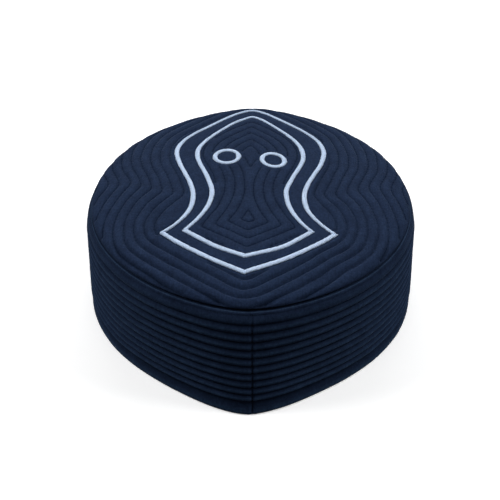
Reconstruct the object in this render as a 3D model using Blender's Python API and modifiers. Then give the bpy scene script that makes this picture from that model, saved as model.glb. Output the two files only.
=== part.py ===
# Quilted kufi cap, in metres, +Z up.
# A domed crown panel is sewn into an upright quilted band, and a sandal outline is stitched on the crown.
# The cap stands on its rim at z = 0. The band's one seam is at the end towards -Y, the sandal's toe
# points towards +Y, and the origin is the middle of the rim.

import math
from collections import namedtuple

import bmesh
import bpy

MM = 0.001

# Overall form
SEAM_RADIUS = 89.0 * MM
SEAM_HEIGHT = 61.3 * MM
RIM_RADIUS = 93.0 * MM
DOME_RISE = 8.0 * MM
DOME_POWER = 2.6
EDGE_ROLL_HEIGHT = 4.1 * MM
EDGE_ROLL_WIDTH = 5.0 * MM

# The wall swells out just below the crown's seam
SWELL = 2.35 * MM
SWELL_SHARE = 0.12

# Both ends of the plan are drawn out to a soft point, where the cap is folded flat
SEAM_END = math.radians(-90)
TOE_END = math.radians(90)
SEAM_END_AT_RIM = 12.3 * MM
SEAM_END_AT_CROWN = 4.0 * MM
TOE_END_REACH = 6.1 * MM
END_SPREAD = math.radians(20)
END_POWER = 1.6
# The crease of the band's seam keeps the very tip of that end this much shorter
TIP_LOST_TO_CREASE = 0.4 * MM
MIDDLE_OF_RIM_TO_AXIS = (SEAM_END_AT_RIM - TIP_LOST_TO_CREASE - TOE_END_REACH) / 2

# Cloth
BAND_THICKNESS = 3.0 * MM
CROWN_THICKNESS = 2.6 * MM
ALLOWANCE_THICKNESS = 2.0 * MM
ALLOWANCE_DEPTH = 6.5 * MM
GAP = 0.35 * MM
TURNS = 60

# Quilting of the band: a plain strip, eleven stitch lines whose spacing narrows downwards, and a hem
TOP_STRIP = 7.0 * MM
STITCH_LINES = 11
WIDEST_CHANNEL = 5.1 * MM
NARROWEST_CHANNEL = 4.15 * MM
CHANNEL_PUFF = 0.25 * MM
STITCH_DEPTH = 0.45 * MM
SIDE_SEAM_HALF_WIDTH = 1.6 * MM
SIDE_SEAM_DEPTH = 1.2 * MM

# Satin stitch of the sandal outline
SATIN_WIDTH = 3.2 * MM
SATIN_HEIGHT = 0.8 * MM
SATIN_STEP = 4.5 * MM
RING_POINTS = 22

# Soft dents in the crown: place, direction, and how far they run along and across it
Dent = namedtuple("Dent", "x y turn_deg along across depth")
DENTS = (
    Dent(x=40 * MM, y=-74 * MM, turn_deg=35, along=17 * MM, across=3.5 * MM, depth=1.2 * MM),
)

# The middle of each satin line, in millimetres from the crown's middle: a row for each level across it
Level = namedtuple("Level", "y left right")
OUTER_TOE = (-0.7, 87.0)
OUTER_SIDES = (
    Level(82.4, -9.7, 7.6),
    Level(74.1, -18.3, 16.3),
    Level(65.9, -25.6, 24.6),
    Level(57.7, -33.4, 32.2),
    Level(49.4, -39.6, 38.0),
    Level(41.2, -42.9, 40.8),
    Level(32.9, -43.4, 41.4),
    Level(22.0, -41.0, 39.3),
    Level(10.3, -36.8, 35.0),
    Level(0.0, -33.3, 31.3),
    Level(-10.0, -31.4, 29.5),
    Level(-20.6, -32.1, 30.7),
    Level(-28.8, -35.4, 34.4),
    Level(-36.0, -40.6, 40.1),
)
OUTER_FLARES = Level(-41.0, -46.2, 45.4)
OUTER_HEEL_SIDES = (
    Level(-49.4, -37.0, 36.0),
    Level(-61.8, -19.7, 18.6),
)
OUTER_HEEL = (-1.9, -71.8)

INNER_TOE = (-0.6, 77.0)
INNER_SIDES = (
    Level(74.0, -5.6, 4.3),
    Level(69.0, -11.2, 8.8),
    Level(61.8, -17.0, 14.6),
    Level(53.5, -23.0, 20.9),
    Level(45.3, -28.0, 25.8),
    Level(37.1, -31.1, 28.7),
    Level(28.8, -31.2, 29.5),
    Level(20.6, -29.2, 28.0),
    Level(8.2, -24.8, 23.6),
    Level(-4.1, -21.5, 19.9),
    Level(-12.4, -21.4, 19.9),
    Level(-20.6, -23.1, 21.5),
    Level(-28.8, -26.7, 24.9),
    Level(-35.0, -30.6, 28.8),
)
INNER_FLARES = Level(-40.0, -34.2, 33.0)
INNER_HEEL_SIDES = (
    Level(-45.3, -27.6, 27.2),
    Level(-53.5, -16.3, 16.5),
)
INNER_HEEL = (-1.8, -60.4)

Ring = namedtuple("Ring", "name x y half_width half_length turn_deg")
RINGS = (
    Ring("left_ring", x=-14.3, y=28.0, half_width=6.2, half_length=7.2, turn_deg=-20),
    Ring("right_ring", x=12.2, y=25.0, half_width=6.0, half_length=7.4, turn_deg=33),
)

# Colours of the cloth and the thread
NAVY = (0.012, 0.020, 0.034, 1.0)
LIGHT_BLUE = (0.50, 0.61, 0.78, 1.0)
CLOTH_ROUGHNESS = 0.9
THREAD_ROUGHNESS = 0.5


def clamp(value):
    return min(1.0, max(0.0, value))


def end_share(angle, towards):
    """How much of a drawn-out end is felt at an angle: 1 at its tip, 0 away from it."""
    turn = abs((angle - towards + math.pi) % (2 * math.pi) - math.pi)
    return math.exp(-((turn / END_SPREAD) ** END_POWER))


def reach(angle, z):
    """How far the plan stands out beyond a circle at this angle and height."""
    down = clamp(1 - z / SEAM_HEIGHT)
    seam_end = SEAM_END_AT_CROWN + (SEAM_END_AT_RIM - SEAM_END_AT_CROWN) * down
    return seam_end * end_share(angle, SEAM_END) + TOE_END_REACH * end_share(angle, TOE_END)


def wall_radius(z):
    """Outer radius of the band at a height, before its ends are drawn out."""
    down = clamp(1 - z / SEAM_HEIGHT)
    lean = (RIM_RADIUS - SWELL - SEAM_RADIUS) * down
    return SEAM_RADIUS + lean + SWELL * math.sqrt(clamp(down / SWELL_SHARE))


def crown_height(radius):
    """Height of the crown's outer face at a radius, before its ends are drawn out."""
    share = radius / SEAM_RADIUS
    into_roll = clamp((SEAM_RADIUS - radius) / EDGE_ROLL_WIDTH)
    roll = EDGE_ROLL_HEIGHT * math.sqrt(1 - (1 - into_roll) ** 2)
    return SEAM_HEIGHT + roll + DOME_RISE * (1 - share ** DOME_POWER)


# The ends are drawn out in full from here outwards, and less and less towards the middle
FULL_REACH_RADIUS = SEAM_RADIUS - 8 * MM


def drawn_out(x, y, z):
    """Where a point of the round form goes when the ends are drawn out."""
    radius = math.hypot(x, y)
    if radius == 0:
        return x, y
    out = reach(math.atan2(y, x), z) * min(1, radius / FULL_REACH_RADIUS)
    return x * (radius + out) / radius, y * (radius + out) / radius


def dent_depth(x, y):
    """How far the soft dents press the crown down at a place."""
    depth = 0
    for dent in DENTS:
        turn = math.radians(dent.turn_deg)
        along = (x - dent.x) * math.cos(turn) + (y - dent.y) * math.sin(turn)
        across = (y - dent.y) * math.cos(turn) - (x - dent.x) * math.sin(turn)
        depth += dent.depth * math.exp(-((along / dent.along) ** 2) - (across / dent.across) ** 2)
    return depth


def crown_surface(x, y):
    """Height of the crown's outer face at a place on the finished cap, measured from its axis."""
    radius = math.hypot(x, y)
    out = reach(math.atan2(y, x), SEAM_HEIGHT)
    if radius > FULL_REACH_RADIUS + out:
        radius -= out
    else:
        radius /= 1 + out / FULL_REACH_RADIUS
    return crown_height(radius) - dent_depth(x, y)


def stitch_heights():
    """Height of each of the band's stitch lines, from the top one down."""
    heights = [SEAM_HEIGHT - TOP_STRIP]
    gaps = STITCH_LINES - 1
    for gap in range(gaps):
        width = WIDEST_CHANNEL + (NARROWEST_CHANNEL - WIDEST_CHANNEL) * gap / (gaps - 1)
        heights.append(heights[-1] - width)
    return heights


def band_profile():
    """Closed section of the band: down its ribbed outside, under the rim and up its plain inside."""
    top = SEAM_HEIGHT
    lines = stitch_heights()
    profile = [(SEAM_RADIUS - 1.8 * MM, top), (SEAM_RADIUS, top - 0.15 * MM)]
    for drop in (0.8 * MM, 2.5 * MM, 5.6 * MM):
        profile.append((wall_radius(top - drop), top - drop))
    profile.append((wall_radius(lines[0]) - STITCH_DEPTH, lines[0]))
    for upper, lower in zip(lines, lines[1:]):
        for share in (0.28, 0.72):
            z = upper + (lower - upper) * share
            profile.append((wall_radius(z) + CHANNEL_PUFF, z))
        profile.append((wall_radius(lower) - STITCH_DEPTH, lower))
    for share in (0.2, 0.8):
        z = lines[-1] * (1 - share)
        profile.append((wall_radius(z), z))
    profile.append((RIM_RADIUS, 0.6 * MM))
    profile.append((RIM_RADIUS - 0.6 * MM, 0.0))
    profile.append((RIM_RADIUS - BAND_THICKNESS + 0.6 * MM, 0.0))
    for z in (0.6 * MM, 18 * MM, 38 * MM, top - 7.5 * MM, top - 4 * MM, top - 2 * MM, top - 0.9 * MM):
        profile.append((wall_radius(z) - BAND_THICKNESS, z))
    return profile


def crown_profile():
    """Section of the crown from its middle: over the dome, round its edge, down the seam allowance
    inside the band, and back under the dome."""
    top = SEAM_HEIGHT
    dome = [mm * MM for mm in (0, 18, 34, 48, 60, 70, 77, 82)]
    edge = [SEAM_RADIUS - mm * MM for mm in (5, 3.2, 1.6, 0.7, 0.3)]
    profile = [(radius, crown_height(radius)) for radius in dome + edge]
    profile.append((SEAM_RADIUS - 0.3 * MM, top + 0.8 * MM))
    profile.append((SEAM_RADIUS - 0.9 * MM, top + GAP))
    allowance = [top - 0.9 * MM, top - 3 * MM, top - ALLOWANCE_DEPTH]
    outer = [(wall_radius(z) - BAND_THICKNESS - GAP, z) for z in allowance]
    profile.append((outer[0][0], top + GAP))
    profile += outer
    profile += [(radius - ALLOWANCE_THICKNESS, z) for radius, z in reversed(outer)]
    profile.append((SEAM_RADIUS - 4.9 * MM, top + 1.3 * MM))
    for mm in (80, 70, 56, 38, 20, 0):
        profile.append((mm * MM, crown_height(mm * MM) - CROWN_THICKNESS))
    return profile


def cloth(name, colour, roughness):
    material = bpy.data.materials.new(name)
    material.use_nodes = True
    material.diffuse_color = colour
    shader = material.node_tree.nodes["Principled BSDF"]
    shader.inputs["Base Color"].default_value = colour
    shader.inputs["Roughness"].default_value = roughness
    shader.inputs["Metallic"].default_value = 0.0
    return material


def add_object(name, data, collection, material):
    piece = bpy.data.objects.new(name, data)
    data.materials.append(material)
    collection.objects.link(piece)
    piece.location = (0, MIDDLE_OF_RIM_TO_AXIS, 0)
    return piece


def as_mesh(piece):
    """Give the piece the mesh that its curve or modifiers make."""
    name = piece.name
    material = piece.data.materials[0]
    collection = piece.users_collection[0]
    evaluated = piece.evaluated_get(bpy.context.evaluated_depsgraph_get())
    mesh = bpy.data.meshes.new_from_object(evaluated)
    bpy.data.objects.remove(piece)
    mesh.name = name
    mesh.materials.clear()
    return add_object(name, mesh, collection, material)


def turned(name, profile, closed, collection, material):
    """Turn a section round the cap's axis into one body."""
    mesh = bpy.data.meshes.new(name)
    count = len(profile)
    edges = [(i, (i + 1) % count) for i in range(count if closed else count - 1)]
    mesh.from_pydata([(radius, 0, z) for radius, z in profile], edges, [])
    piece = add_object(name, mesh, collection, material)
    screw = piece.modifiers.new("turn", "SCREW")
    screw.axis = "Z"
    screw.steps = screw.render_steps = TURNS
    screw.use_merge_vertices = True
    screw.merge_threshold = 0.00001
    return as_mesh(piece)


def shade(mesh):
    mesh.shade_smooth()
    mesh.set_sharp_from_angle(angle=math.radians(40))


def make_crown(collection, material):
    crown = turned("crown_panel", crown_profile(), False, collection, material)
    for vertex in crown.data.vertices:
        x, y, z = vertex.co
        x, y = drawn_out(x, y, z)
        above_seam = z > SEAM_HEIGHT + 1 * MM
        vertex.co = (x, y, z - dent_depth(x, y) * above_seam)
    shade(crown.data)
    return crown


def make_band(collection, material):
    band = turned("side_band", band_profile(), True, collection, material)
    for vertex in band.data.vertices:
        x, y, z = vertex.co
        vertex.co = (*drawn_out(x, y, z), z)
    press_in_side_seam(band.data)
    shade(band.data)
    return band


def press_in_side_seam(mesh):
    """Crease the band's outside along the one seam that closes it."""
    shape = bmesh.new()
    shape.from_mesh(mesh)
    for side in (-1, 1):
        near = [face for face in shape.faces if face.calc_center_median().y < -SEAM_RADIUS / 2]
        edges = {edge for face in near for edge in face.edges}
        vertices = {vertex for face in near for vertex in face.verts}
        bmesh.ops.bisect_plane(
            shape,
            geom=[*vertices, *edges, *near],
            dist=0.001 * MM,
            plane_co=(side * SIDE_SEAM_HALF_WIDTH, 0, 0),
            plane_no=(1, 0, 0),
        )
    for vertex in shape.verts:
        x, y, z = vertex.co
        skin = wall_radius(z) + reach(SEAM_END, z) - BAND_THICKNESS / 2
        if abs(x) < 0.01 * MM and y < -skin:
            vertex.co.y += SIDE_SEAM_DEPTH
    shape.to_mesh(mesh)
    shape.free()


def smooth_line(points, step):
    """Places along a smooth curve through points, without its last one."""
    places = []
    ends = [points[0], *points, points[-1]]
    for before, start, end, after in zip(ends, ends[1:], ends[2:], ends[3:]):
        pieces = max(1, round(math.dist(start, end) / step))
        for i in range(pieces):
            t = i / pieces
            places.append(tuple(
                b + 0.5 * t * (c - a + t * (2 * a - 5 * b + 4 * c - d + t * (3 * (b - c) + d - a)))
                for a, b, c, d in zip(before, start, end, after)
            ))
    return places


def sandal_line(toe, sides, flares, heel_sides, heel):
    """The closed line of a sandal's edge: round over the toe, with corners at the flares and the heel."""
    left = [(level.left, level.y) for level in sides]
    right = [(level.right, level.y) for level in sides]
    heel_left = [(level.left, level.y) for level in heel_sides]
    heel_right = [(level.right, level.y) for level in heel_sides]
    flare_left = (flares.left, flares.y)
    flare_right = (flares.right, flares.y)
    over_toe = [flare_right, *reversed(right), toe, *left, flare_left]
    runs = (over_toe, [flare_left, *heel_left, heel], [heel, *reversed(heel_right), flare_right])
    step = SATIN_STEP / MM
    return [(x * MM, y * MM) for run in runs for x, y in smooth_line(run, step)]


def ring_line(ring):
    """The closed oval line of a small ring."""
    turn = math.radians(ring.turn_deg)
    places = []
    for i in range(RING_POINTS):
        angle = 2 * math.pi * i / RING_POINTS
        across = ring.half_width * math.cos(angle)
        along = ring.half_length * math.sin(angle)
        x = ring.x + across * math.cos(turn) - along * math.sin(turn)
        y = ring.y + across * math.sin(turn) + along * math.cos(turn)
        places.append((x * MM, y * MM))
    return places


def beside(line, distance):
    """A closed line moved sideways by a distance, with mitred corners."""
    places = []
    for i, (x, y) in enumerate(line):
        last = line[i - 1]
        following = line[(i + 1) % len(line)]
        into = math.atan2(y - last[1], x - last[0])
        out = math.atan2(following[1] - y, following[0] - x)
        half_turn = ((out - into + math.pi) % (2 * math.pi) - math.pi) / 2
        normal = into + half_turn + math.pi / 2
        length = distance / math.cos(half_turn)
        places.append((x + length * math.cos(normal), y + length * math.sin(normal)))
    return places


def make_satin(name, line, collection, material):
    """A flat raised band of stitches along a closed line, laid over the crown."""
    outline = bpy.data.curves.new(name, "CURVE")
    outline.dimensions = "2D"
    outline.fill_mode = "BOTH"
    outline.extrude = SATIN_HEIGHT / 2
    for side in (-1, 1):
        edge = beside(line, side * SATIN_WIDTH / 2)
        spline = outline.splines.new("POLY")
        spline.points.add(len(edge) - 1)
        for point, (x, y) in zip(spline.points, edge):
            point.co = (x, y, 0, 1)
        spline.use_cyclic_u = True
    satin = as_mesh(add_object(name, outline, collection, material))
    shape = bmesh.new()
    shape.from_mesh(satin.data)
    bmesh.ops.remove_doubles(shape, verts=shape.verts, dist=0.001 * MM)
    for vertex in shape.verts:
        x, y, z = vertex.co
        vertex.co.z = crown_surface(x, y) + GAP + SATIN_HEIGHT / 2 + z
    shape.to_mesh(satin.data)
    shape.free()
    shade(satin.data)
    return satin


def main():
    for old in list(bpy.data.objects):
        bpy.data.objects.remove(old)
    parts = bpy.data.collections.new("kufi_cap")
    bpy.context.scene.collection.children.link(parts)
    navy_cloth = cloth("navy_cloth", NAVY, CLOTH_ROUGHNESS)
    blue_thread = cloth("light_blue_thread", LIGHT_BLUE, THREAD_ROUGHNESS)

    make_crown(parts, navy_cloth)
    make_band(parts, navy_cloth)
    outer = sandal_line(OUTER_TOE, OUTER_SIDES, OUTER_FLARES, OUTER_HEEL_SIDES, OUTER_HEEL)
    inner = sandal_line(INNER_TOE, INNER_SIDES, INNER_FLARES, INNER_HEEL_SIDES, INNER_HEEL)
    make_satin("outer_outline", outer, parts, blue_thread)
    make_satin("inner_outline", inner, parts, blue_thread)
    for ring in RINGS:
        make_satin(ring.name, ring_line(ring), parts, blue_thread)


main()
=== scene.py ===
# Kufi cap of quilted navy cotton, with a sandal outline in light-blue satin stitch on its crown.
# Metres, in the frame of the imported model: +Z up, the band's one seam towards -Y, the toe towards +Y.

import math
from collections import namedtuple

import bmesh
import bpy
import numpy as np
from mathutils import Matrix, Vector, noise
from mathutils.kdtree import KDTree


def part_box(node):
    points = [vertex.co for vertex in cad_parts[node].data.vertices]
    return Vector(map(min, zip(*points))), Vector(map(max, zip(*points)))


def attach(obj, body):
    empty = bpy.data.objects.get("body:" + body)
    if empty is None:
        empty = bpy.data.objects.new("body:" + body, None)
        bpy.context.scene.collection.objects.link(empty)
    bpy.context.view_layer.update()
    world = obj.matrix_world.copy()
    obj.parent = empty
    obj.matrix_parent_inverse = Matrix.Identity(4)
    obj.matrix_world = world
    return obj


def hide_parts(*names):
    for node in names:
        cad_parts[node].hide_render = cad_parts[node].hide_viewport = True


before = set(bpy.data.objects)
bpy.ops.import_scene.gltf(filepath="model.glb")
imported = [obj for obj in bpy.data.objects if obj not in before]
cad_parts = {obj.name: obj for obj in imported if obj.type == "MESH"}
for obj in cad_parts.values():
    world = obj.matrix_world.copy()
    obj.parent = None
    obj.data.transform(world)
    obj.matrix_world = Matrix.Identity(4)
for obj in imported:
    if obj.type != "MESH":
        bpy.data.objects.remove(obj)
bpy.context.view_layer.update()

MM = 0.001

# Overall form, from the solids' boxes and the same driving sizes
band_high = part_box("side_band")[1]
crown_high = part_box("crown_panel")[1]
SEAM_HEIGHT = band_high.z
RIM_RADIUS = band_high.x
SEAM_RADIUS = RIM_RADIUS - 4.0 * MM
EDGE_ROLL_HEIGHT = 4.1 * MM
EDGE_ROLL_WIDTH = 5.0 * MM
DOME_RISE = crown_high.z - SEAM_HEIGHT - EDGE_ROLL_HEIGHT
DOME_POWER = 2.6
SWELL = 2.35 * MM
SWELL_SHARE = 0.12

# Both ends of the plan are drawn out to a soft point
SEAM_END = math.radians(-90)
SEAM_LINE = math.radians(-88.4)
TOE_END = math.radians(90)
END_SPREAD = math.radians(20)
END_POWER = 1.6
TOE_END_REACH = 6.1 * MM
SEAM_END_AT_CROWN = 4.0 * MM
SEAM_END_AT_RIM = 12.3 * MM
FULL_REACH_RADIUS = SEAM_RADIUS - 8 * MM
AXIS_Y = band_high.y - RIM_RADIUS - TOE_END_REACH

# Cloth
BAND_THICKNESS = 3.0 * MM
CROWN_THICKNESS = 2.6 * MM
ALLOWANCE_THICKNESS = 2.0 * MM
ALLOWANCE_DEPTH = 6.5 * MM
GAP = 0.35 * MM
ALLOWANCE_DROPS = (0.9 * MM, 2 * MM, 3.5 * MM, 5 * MM, ALLOWANCE_DEPTH)
TOP_FOLD = 0.9 * MM
FOLD_INWARDS = 1.8 * MM
FOLD_OUTWARDS = 0.75 * MM
HEM_EDGE = 0.7 * MM
INNER_SWELL = 0.25 * MM
CLOTH_DRIFT = 0.16 * MM
CLOTH_DRIFT_SIZE = 17 * MM

# Quilting of the band: a plain strip, eleven stitch lines whose spacing narrows downwards, and a hem
TOP_STRIP = 7.0 * MM
STITCH_LINES = 11
WIDEST_CHANNEL = 5.1 * MM
NARROWEST_CHANNEL = 4.15 * MM
EDGE_STITCH_DROP = 1.7 * MM
BAND_PUFF = 1.25 * MM
BAND_VALLEY = 0.15 * MM
RIB_ROUNDNESS = 1.35
SEAM_GROOVE_DEPTH = 0.95 * MM
SEAM_GROOVE_WIDTH = 0.4 * MM
SEAM_RIDGE_AT = 1.5 * MM
SEAM_RIDGE_WIDTH = 0.5 * MM
SEAM_RIDGE_HEIGHT = 0.25 * MM

# Quilting of the crown: lines at even distances from two leading lines, one outside the sandal's
# outlines and one inside them
SPACING_OUTSIDE = 5.65 * MM
SPACING_INSIDE = 5.5 * MM
CLEAR_OF_SATIN = 2.8 * MM
CLEAR_OF_EDGE = 0.7 * MM
CORNER_EASE_OUTSIDE = 3.2 * MM
CORNER_EASE_INSIDE = 1.4 * MM
EASE_GROWTH = 0.25
WAIST_DRIFT = 7.0 * MM
HAND_WANDER = 0.3 * MM
CROWN_PUFF = 0.55 * MM
CROWN_VALLEY = 0.30 * MM
CROWN_VALLEY_WIDTH = 1.0 * MM
CROWN_LEVEL = 0.55
LINING_VALLEY_WIDTH = 0.88 * MM
FRONT_DRIFT = 1.2 * MM
HOLE_DEPTH = 0.14 * MM
HOLE_WIDTH = 0.65 * MM

# The relief attribute sets the colour of cloth between its stitch lines: it is 0 down in them, as painted
# shade, and 1 on the painted highlight of the band's fold
PLAIN_CLOTH = 0.8

# Threads
STITCH_LENGTH = 2.3 * MM
STITCH_PITCH = 2.9 * MM
STITCH_THICKNESS = 0.28 * MM
STITCH_RISE = 0.17 * MM
STITCH_TUCK = 0.22 * MM
SATIN_PITCH = 0.40 * MM
SATIN_THREAD_WIDTH = 0.52 * MM
SATIN_THREAD_HEIGHT = 0.34 * MM
SATIN_HEIGHT = 0.62 * MM
SATIN_SUNK = 0.15 * MM

# Meshes
CROWN_DOME_RINGS = 113
LINING_DOME_RINGS = 61
BAND_COLUMNS = 600

uneven = np.random.default_rng(7)

# One soft dent in the crown, near the right of the seam end
DENT_X = 40 * MM
DENT_Y = -74 * MM
DENT_TURN = math.radians(35)
DENT_LENGTH = 17 * MM
DENT_WIDTH = 3.5 * MM
DENT_DEPTH = 1.2 * MM

# The middle of each satin line, in millimetres from the crown's middle: a row for each level across it
Level = namedtuple("Level", "y left right")
OUTER_TOE = (-0.7, 87.0)
OUTER_SIDES = (
    Level(82.4, -9.7, 7.6),
    Level(74.1, -18.3, 16.3),
    Level(65.9, -25.6, 24.6),
    Level(57.7, -33.4, 32.2),
    Level(49.4, -39.6, 38.0),
    Level(41.2, -42.9, 40.8),
    Level(32.9, -43.4, 41.4),
    Level(22.0, -41.0, 39.3),
    Level(10.3, -36.8, 35.0),
    Level(0.0, -33.3, 31.3),
    Level(-10.0, -31.4, 29.5),
    Level(-20.6, -32.1, 30.7),
    Level(-28.8, -35.4, 34.4),
    Level(-36.0, -40.6, 40.1),
)
OUTER_FLARES = Level(-41.0, -46.2, 45.4)
OUTER_HEEL_SIDES = (
    Level(-49.4, -37.0, 36.0),
    Level(-61.8, -19.7, 18.6),
)
OUTER_HEEL = (-1.9, -71.8)

INNER_TOE = (-0.6, 77.0)
INNER_SIDES = (
    Level(74.0, -5.6, 4.3),
    Level(69.0, -11.2, 8.8),
    Level(61.8, -17.0, 14.6),
    Level(53.5, -23.0, 20.9),
    Level(45.3, -28.0, 25.8),
    Level(37.1, -31.1, 28.7),
    Level(28.8, -31.2, 29.5),
    Level(20.6, -29.2, 28.0),
    Level(8.2, -24.8, 23.6),
    Level(-4.1, -21.5, 19.9),
    Level(-12.4, -21.4, 19.9),
    Level(-20.6, -23.1, 21.5),
    Level(-28.8, -26.7, 24.9),
    Level(-35.0, -30.6, 28.8),
)
INNER_FLARES = Level(-40.0, -34.2, 33.0)
INNER_HEEL_SIDES = (
    Level(-45.3, -27.6, 27.2),
    Level(-53.5, -16.3, 16.5),
)
INNER_HEEL = (-1.8, -60.4)

# The leading quilting line outside the sandal, which turns in sharply at its waist
OUTSIDE_TOE = (-0.7, 97.5)
OUTSIDE_SIDES = (
    Level(89.7, -15.8, 13.7),
    Level(80.7, -25.1, 23.1),
    Level(72.5, -32.8, 31.2),
    Level(64.0, -41.0, 39.0),
    Level(56.5, -47.5, 44.5),
    Level(50.0, -50.6, 47.0),
    Level(40.0, -53.0, 49.4),
    Level(30.0, -53.1, 50.1),
    Level(20.0, -51.2, 49.3),
    Level(10.0, -47.3, 45.9),
    Level(0.0, -44.2, 42.6),
)
OUTSIDE_WAIST = Level(-7.0, -42.4, 40.4)
OUTSIDE_FLARES = (
    Level(-13.0, -46.6, 43.8),
    Level(-20.0, -51.8, 48.6),
    Level(-30.0, -56.0, 52.0),
    Level(-38.0, -56.2, 51.8),
    Level(-45.5, -53.2, 48.2),
    Level(-54.5, -43.5, 37.8),
    Level(-64.0, -31.3, 27.3),
    Level(-73.5, -17.0, 14.0),
)
OUTSIDE_HEEL = (-1.6, -81.4)

# The leading quilting line inside the sandal, with corners at the heel
INSIDE_TOE = (-1.0, 63.8)
INSIDE_SIDES = (
    Level(50.0, -14.9, 12.7),
    Level(40.0, -21.3, 18.9),
    Level(30.0, -22.6, 20.6),
    Level(20.0, -19.0, 18.2),
    Level(10.0, -15.6, 14.6),
    Level(0.0, -14.3, 12.6),
    Level(-10.0, -14.9, 13.0),
    Level(-20.0, -17.6, 15.8),
    Level(-28.0, -21.4, 19.6),
)
INSIDE_CORNERS = Level(-37.0, -25.5, 24.5)
INSIDE_HEEL_SIDES = (
    Level(-46.0, -12.2, 11.4),
)
INSIDE_HEEL = (-1.0, -53.5)

Ring = namedtuple("Ring", "name x y half_width half_length turn_deg")
RINGS = (
    Ring("left_ring", x=-14.3, y=28.0, half_width=6.8, half_length=6.9, turn_deg=-20),
    Ring("right_ring", x=12.3, y=24.7, half_width=6.1, half_length=7.2, turn_deg=33),
)

# How wide the satin is on each run of the two outlines, from its middle to its edge. The needle swung
# across the cap, so over the toe and on the rings it is narrower where the line slants.
HALF_WIDTH_OVER_TOE = 1.40 * MM
HALF_WIDTH_AT_HEEL = 1.25 * MM
HALF_WIDTH_OF_RING = 1.45 * MM
NARROWEST_OVER_TOE = 0.6
NARROWEST_OF_RING = 0.8


# Form


def end_share(angle, towards):
    """How much of a drawn-out end is felt at an angle: 1 at its tip, 0 away from it."""
    turn = np.abs((angle - towards + np.pi) % (2 * np.pi) - np.pi)
    return np.exp(-((turn / END_SPREAD) ** END_POWER))


def reach(angle, z):
    """How far the plan stands out beyond a circle at this angle and height."""
    down = np.clip(1 - z / SEAM_HEIGHT, 0, 1)
    seam_end = SEAM_END_AT_CROWN + (SEAM_END_AT_RIM - SEAM_END_AT_CROWN) * down
    return seam_end * end_share(angle, SEAM_END) + TOE_END_REACH * end_share(angle, TOE_END)


def wall_radius(z):
    """Outer radius of the band at a height, before its ends are drawn out."""
    down = np.clip(1 - z / SEAM_HEIGHT, 0, 1)
    lean = (RIM_RADIUS - SWELL - SEAM_RADIUS) * down
    return SEAM_RADIUS + lean + SWELL * np.sqrt(np.clip(down / SWELL_SHARE, 0, 1))


def crown_height(radius):
    """Height of the crown's outer face at a radius, before its ends are drawn out."""
    into_roll = np.clip((SEAM_RADIUS - radius) / EDGE_ROLL_WIDTH, 0, 1)
    roll = EDGE_ROLL_HEIGHT * np.sqrt(1 - (1 - into_roll) ** 2)
    return SEAM_HEIGHT + roll + DOME_RISE * (1 - (radius / SEAM_RADIUS) ** DOME_POWER)


def dent_depth(x, y):
    """How far the soft dent presses the crown down at a place."""
    along = (x - DENT_X) * math.cos(DENT_TURN) + (y - DENT_Y) * math.sin(DENT_TURN)
    across = (y - DENT_Y) * math.cos(DENT_TURN) - (x - DENT_X) * math.sin(DENT_TURN)
    return DENT_DEPTH * np.exp(-((along / DENT_LENGTH) ** 2) - (across / DENT_WIDTH) ** 2)


def crown_surface(x, y):
    """Height of the crown's outer face at a place, measured from the cap's axis."""
    radius = np.hypot(x, y)
    out = reach(np.arctan2(y, x), SEAM_HEIGHT)
    beyond = radius > FULL_REACH_RADIUS + out
    radius = np.where(beyond, radius - out, radius / (1 + out / FULL_REACH_RADIUS))
    return crown_height(np.minimum(radius, SEAM_RADIUS)) - dent_depth(x, y)


def crown_normals(x, y):
    """The way out of the crown's outer face at a place."""
    step = 0.2 * MM
    slope_x = (crown_surface(x + step, y) - crown_surface(x - step, y)) / (2 * step)
    slope_y = (crown_surface(x, y + step) - crown_surface(x, y - step)) / (2 * step)
    return unit(np.stack([-slope_x, -slope_y, np.ones_like(slope_x)], axis=-1))


def stitch_heights():
    """Height of each of the band's stitch lines, from the top one down."""
    gaps = np.linspace(WIDEST_CHANNEL, NARROWEST_CHANNEL, STITCH_LINES - 1)
    return SEAM_HEIGHT - TOP_STRIP - np.concatenate([[0], np.cumsum(gaps)])


# Small helpers


def unit(vectors):
    return vectors / np.linalg.norm(vectors, axis=-1, keepdims=True)


def softly(value):
    """A step from 0 to 1 without corners."""
    value = np.clip(value, 0, 1)
    return value * value * (3 - 2 * value)


def pillow(share, roundness=0.85):
    """Rise of the wadding between two stitch lines, from 0 at each line to 1 in the middle."""
    return np.clip(4 * share * (1 - share), 0, 1) ** roundness


def unevenness(places, size):
    """Smooth bumps of about this size at each place, between about -1 and 1."""
    return np.array([noise.noise(Vector(place)) for place in places / size])


def run_lengths(line):
    return np.concatenate([[0], np.cumsum(np.linalg.norm(np.diff(line, axis=0), axis=1))])


def sample(line, lengths, at):
    return np.column_stack([np.interp(at, lengths, column) for column in line.T])


# Lines of the ornament


def smooth_line(points):
    """A smooth curve through points in millimetres, as close places in metres."""
    step = 0.5
    places = []
    ends = [points[0], *points, points[-1]]
    for before, start, end, after in zip(ends, ends[1:], ends[2:], ends[3:]):
        pieces = max(1, round(math.dist(start, end) / step))
        for i in range(pieces):
            t = i / pieces
            places.append([
                b + 0.5 * t * (c - a + t * (2 * a - 5 * b + 4 * c - d + t * (3 * (b - c) + d - a)))
                for a, b, c, d in zip(before, start, end, after)
            ])
    places.append(points[-1])
    return np.array(places) * MM


def down_left(levels):
    return [(level.left, level.y) for level in levels]


def up_right(levels):
    return [(level.right, level.y) for level in reversed(levels)]


def sandal_runs(toe, sides, flares, heel_sides, heel):
    """The three smooth runs of a sandal's edge: over the toe, and along each side of the heel."""
    left, right = down_left([flares]), up_right([flares])
    runs = (
        right + up_right(sides) + [toe] + down_left(sides) + left,
        left + down_left(heel_sides) + [heel],
        [heel] + up_right(heel_sides) + right,
    )
    return [smooth_line(run) for run in runs]


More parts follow.
